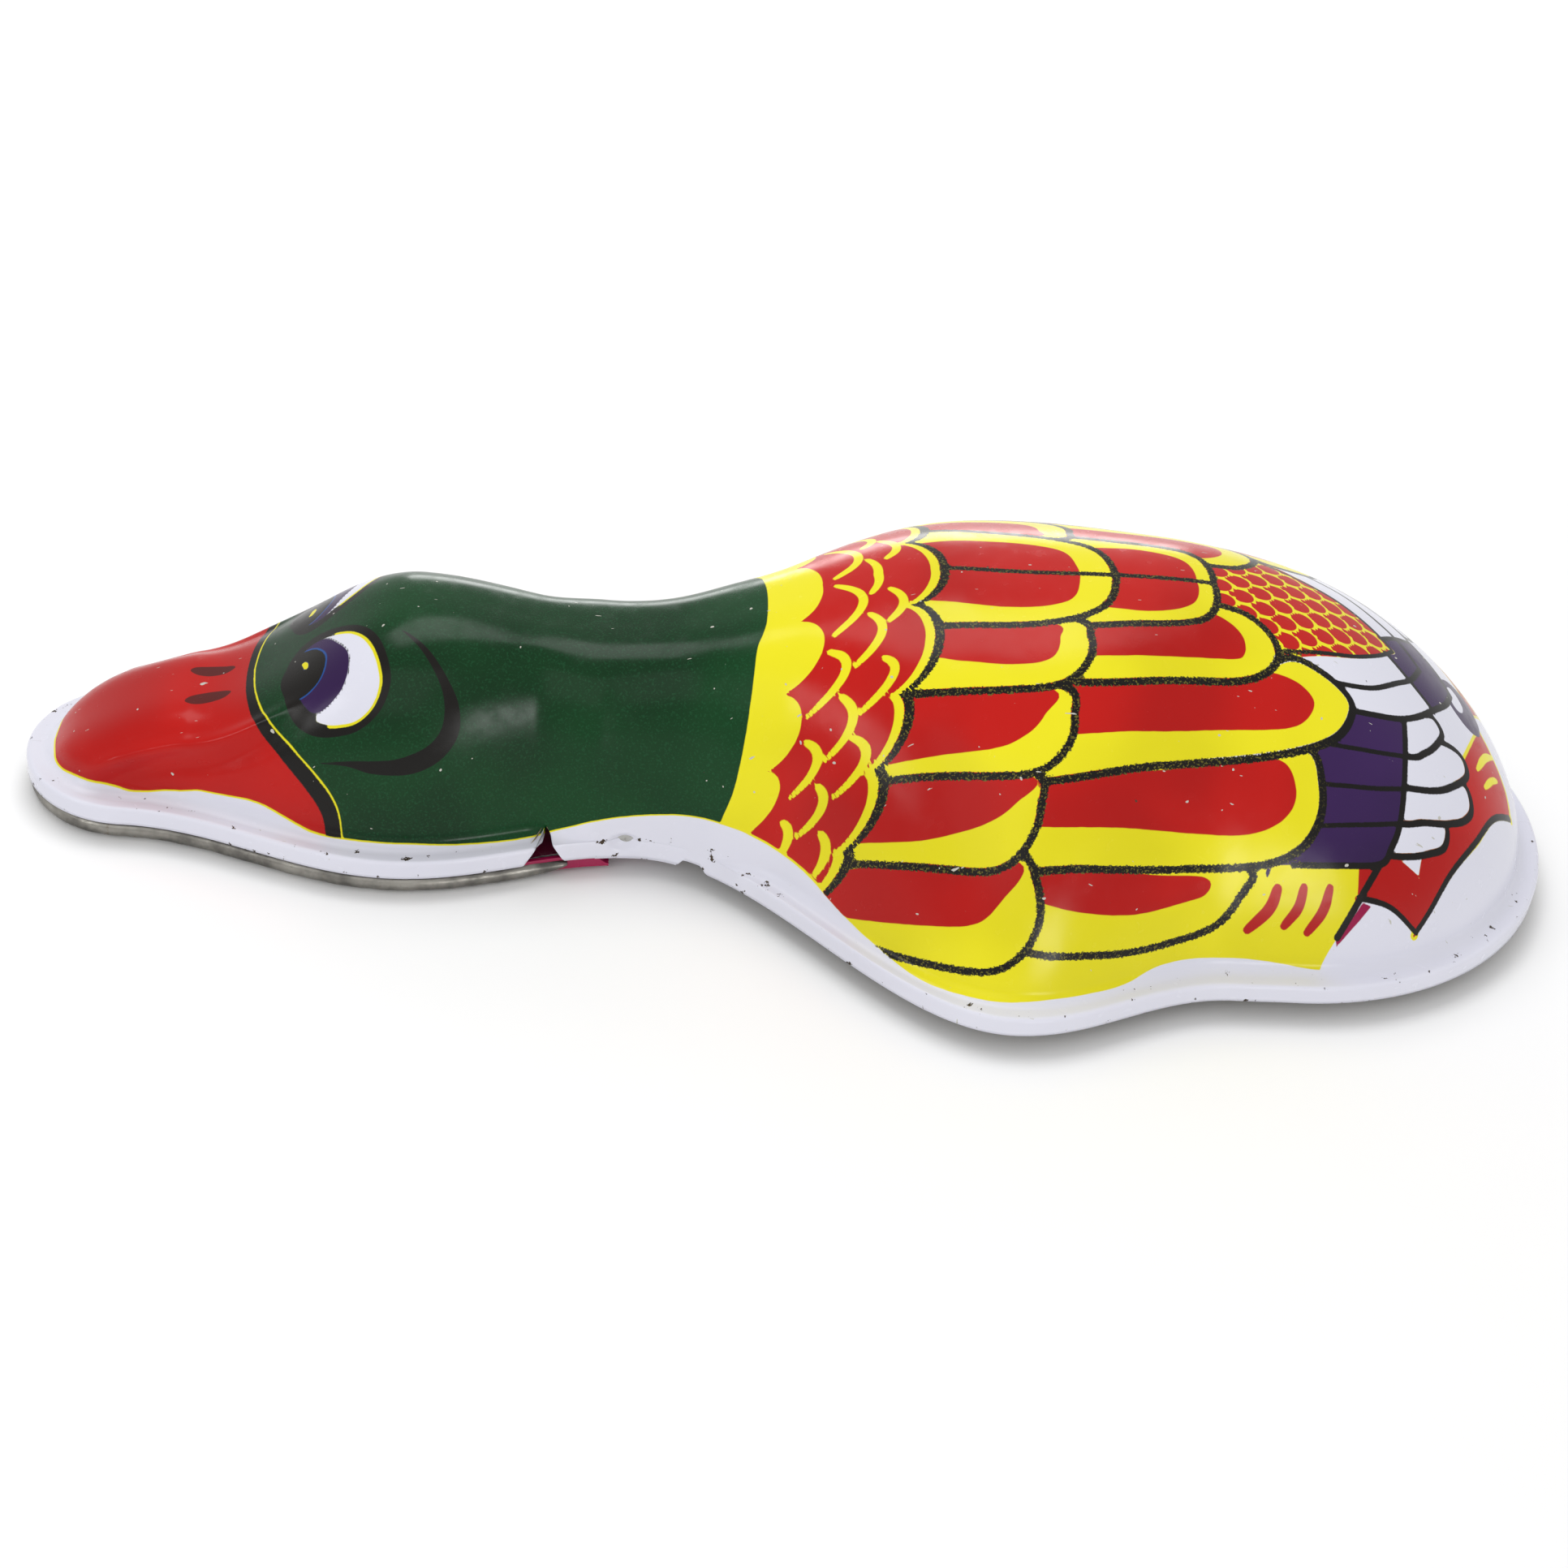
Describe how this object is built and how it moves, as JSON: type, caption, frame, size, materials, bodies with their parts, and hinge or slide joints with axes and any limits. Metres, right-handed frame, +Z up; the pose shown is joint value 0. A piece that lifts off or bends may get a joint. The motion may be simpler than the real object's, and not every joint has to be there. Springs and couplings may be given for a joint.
{
  "type": "squeeze-action tin duck quacker toy",
  "caption": "Pressed-tin toy duck with a hinged, sprung lower bill, worked by a lever under the body that draws a toothed comb past a reed.",
  "frame": {"origin": "centre of the toy's length and width, on the plane it rests on: the lower bill's rim and the squeeze lever's underside", "axes": "X from the bill (-X) to the tail (+X), Y across the duck, +Z up"},
  "size_m": [0.15, 0.0664, 0.0314],
  "materials": {
    "litho_tin": "glossy lithographed tinplate in green, red, yellow and white",
    "magenta_tin": "glossy lacquer inside, bare curled rim",
    "bare_tin": "dull tinplate",
    "bright_steel": "satin",
    "spring_steel": "blued spring steel"
  },
  "bodies": {
    "duck": {"duck_shell": "litho_tin", "neck_bridge": "bare_tin", "pivot_pin": "bright_steel", "return_spring": "spring_steel", "reed_clamp": "bare_tin", "reed_rivet_left": "bright_steel", "reed_rivet_right": "bright_steel"},
    "jaw": {"lower_jaw": "magenta_tin", "squeeze_lever": "bare_tin", "lever_rivet_left": "bright_steel", "lever_rivet_right": "bright_steel", "quack_comb": "bare_tin", "comb_rivet_left": "bright_steel", "comb_rivet_right": "bright_steel"},
    "reed": {"quack_reed": "spring_steel"}
  },
  "joints": [
    {"name": "jaw_hinge", "type": "hinge", "parent": "duck", "child": "jaw", "pos_m": [-0.0173, 0, 0.0038], "axis": [0, -1, 0], "range_deg": [0, 11], "stiffness_Nm_per_rad": 0.25, "springref_deg": -17.19, "deforming": ["return_spring"]},
    {"name": "reed_flick", "type": "hinge", "parent": "duck", "child": "reed", "pos_m": [-0.0112, 0, 0.00784], "axis": [0, -1, 0], "range_deg": [0, 2], "stiffness_Nm_per_rad": 0.02}
  ]
}
